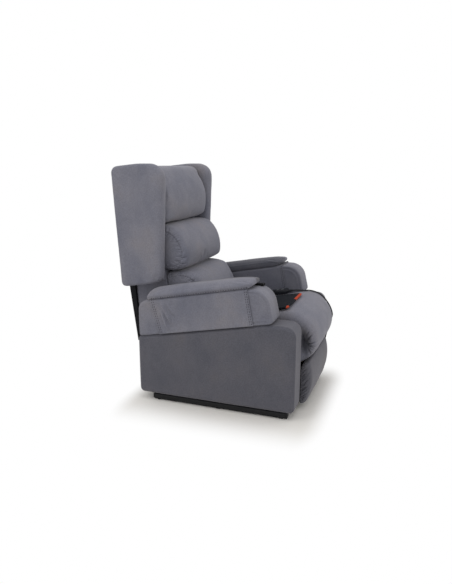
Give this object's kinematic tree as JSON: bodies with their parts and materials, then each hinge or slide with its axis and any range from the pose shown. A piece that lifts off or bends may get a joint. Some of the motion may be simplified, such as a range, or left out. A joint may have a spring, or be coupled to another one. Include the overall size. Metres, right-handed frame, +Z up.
{
  "type": "lift recliner",
  "caption": "Padded lift recliner with winged back, stacked back pillows, rolled seat front, drop-down leg rest, sloping arms and a tilting steel lift base with a corded hand control.",
  "frame": {"origin": "on the floor under the middle of the chair's overall box", "axes": "+Z up, +Y to the rear, +X to the sitter's left; the chair faces -Y"},
  "size_m": [0.816, 1.048, 1.2045],
  "materials": {
    "upholstery": "blue-grey microfibre suede with a soft sheen",
    "rear_cloth": "black backing cloth",
    "webbing": "woven elastic",
    "mat_cloth": "black padded cloth with orange corner patches",
    "black_steel": "semi-matt black powder coat",
    "bright_steel": "zinc plated",
    "black_plastic": "moulded",
    "handset_shell": "fine texture",
    "key_cap": "soft grey keys",
    "cord_sheath": "black sheath",
    "glide": "moulded",
    "ply": "raw plywood"
  },
  "bodies": {
    "base": {"base_rails": "black_steel", "rail_end_caps": "black_plastic", "floor_glides": "glide", "base_cross_tubes": "black_steel", "base_brackets": "black_steel", "base_pins": "bright_steel", "lift_drive_tube": "black_steel", "lift_motor": "black_plastic"},
    "lift_frame": {"lift_torque_tube": "black_steel", "lift_links": "black_steel", "lift_lever": "black_steel"},
    "rear_links": {"rear_links": "black_steel"},
    "lift_rod": {"lift_rod": "bright_steel"},
    "chassis": {"mechanism_plates": "black_steel", "chassis_tubes": "black_steel", "chassis_pins": "bright_steel", "seat_rails": "black_steel", "seat_webbing": "webbing", "control_tray": "black_steel", "control_box": "black_plastic", "seat_cushion": "upholstery", "chassis_drive_tubes": "black_steel", "chassis_motors": "black_plastic", "left_side_panel": "upholstery", "right_side_panel": "upholstery", "side_frames": "ply", "rear_stretcher": "ply", "left_arm": "upholstery", "right_arm": "upholstery", "left_arm_cover": "upholstery", "right_arm_cover": "upholstery", "left_arm_pad": "upholstery", "right_arm_pad": "upholstery", "pad_strap": "webbing", "handset": "handset_shell", "handset_cord": "cord_sheath", "cord_gland": "cord_sheath", "seat_mat": "mat_cloth"},
    "back": {"back_rear_panel": "rear_cloth", "back_frame": "black_steel", "back_webbing": "webbing", "back_body": "upholstery", "head_pillow": "upholstery", "mid_pillow": "upholstery", "lumbar_pillow": "upholstery", "left_wing": "upholstery", "right_wing": "upholstery", "back_brackets": "black_steel", "back_torque_tube": "black_steel", "recline_lever": "black_steel"},
    "recline_rod": {"recline_rod": "bright_steel"},
    "legrest": {"legrest_pad": "upholstery", "legrest_board": "rear_cloth", "legrest_arms": "black_steel"},
    "legrest_drive": {"legrest_push_frame": "black_steel", "legrest_rod": "bright_steel"},
    "key_1": {"handset_key_1": "key_cap"},
    "key_2": {"handset_key_2": "key_cap"},
    "key_3": {"handset_key_3": "key_cap"},
    "key_4": {"handset_key_4": "key_cap"}
  },
  "joints": [
    {"name": "lift", "type": "hinge", "parent": "base", "child": "lift_frame", "pos_m": [0, -0.196, 0.062], "axis": [1, 0, 0], "range_deg": [0, 65]},
    {"name": "chassis_tilt", "type": "hinge", "parent": "lift_frame", "child": "chassis", "pos_m": [0, 0.12278, 0.08989], "axis": [1, 0, 0], "range_deg": [-39, 0]},
    {"name": "rear_link_swing", "type": "hinge", "parent": "base", "child": "rear_links", "pos_m": [0, -0.1437, 0.0733], "axis": [1, 0, 0], "range_deg": [0, 58.83]},
    {"name": "lift_rod_slide", "type": "slide", "parent": "base", "child": "lift_rod", "axis": [0, -1, 0], "range_m": [0, 0.086]},
    {"name": "recline", "type": "hinge", "parent": "chassis", "child": "back", "pos_m": [0, 0.254, 0.3], "axis": [-1, 0, 0], "range_deg": [0, 40]},
    {"name": "recline_rod_slide", "type": "slide", "parent": "chassis", "child": "recline_rod", "axis": [0, -1, 0], "range_m": [0, 0.05969]},
    {"name": "legrest", "type": "hinge", "parent": "chassis", "child": "legrest", "pos_m": [0, -0.382, 0.361], "axis": [-1, 0, 0], "range_deg": [0, 85]},
    {"name": "legrest_drive_slide", "type": "slide", "parent": "chassis", "child": "legrest_drive", "axis": [0, -0.9806, 0.1959], "range_m": [0, 0.10996]},
    {"name": "key_1_press", "type": "slide", "parent": "chassis", "child": "key_1", "axis": [0, -0.1959, -0.9806], "range_m": [0, 0.0012], "stiffness_N_per_m": 800},
    {"name": "key_2_press", "type": "slide", "parent": "chassis", "child": "key_2", "axis": [0, -0.1959, -0.9806], "range_m": [0, 0.0012], "stiffness_N_per_m": 800},
    {"name": "key_3_press", "type": "slide", "parent": "chassis", "child": "key_3", "axis": [0, -0.1959, -0.9806], "range_m": [0, 0.0012], "stiffness_N_per_m": 800},
    {"name": "key_4_press", "type": "slide", "parent": "chassis", "child": "key_4", "axis": [0, -0.1959, -0.9806], "range_m": [0, 0.0012], "stiffness_N_per_m": 800}
  ],
  "couplings": [
    {"joint": "chassis_tilt", "follows": "lift", "ratio": -0.6},
    {"joint": "rear_link_swing", "follows": "lift", "ratio": 0.905},
    {"joint": "lift_rod_slide", "follows": "lift", "m_per_rad": 0.075811},
    {"joint": "recline_rod_slide", "follows": "recline", "m_per_rad": 0.085501},
    {"joint": "legrest_drive_slide", "follows": "legrest", "m_per_rad": 0.07412}
  ]
}
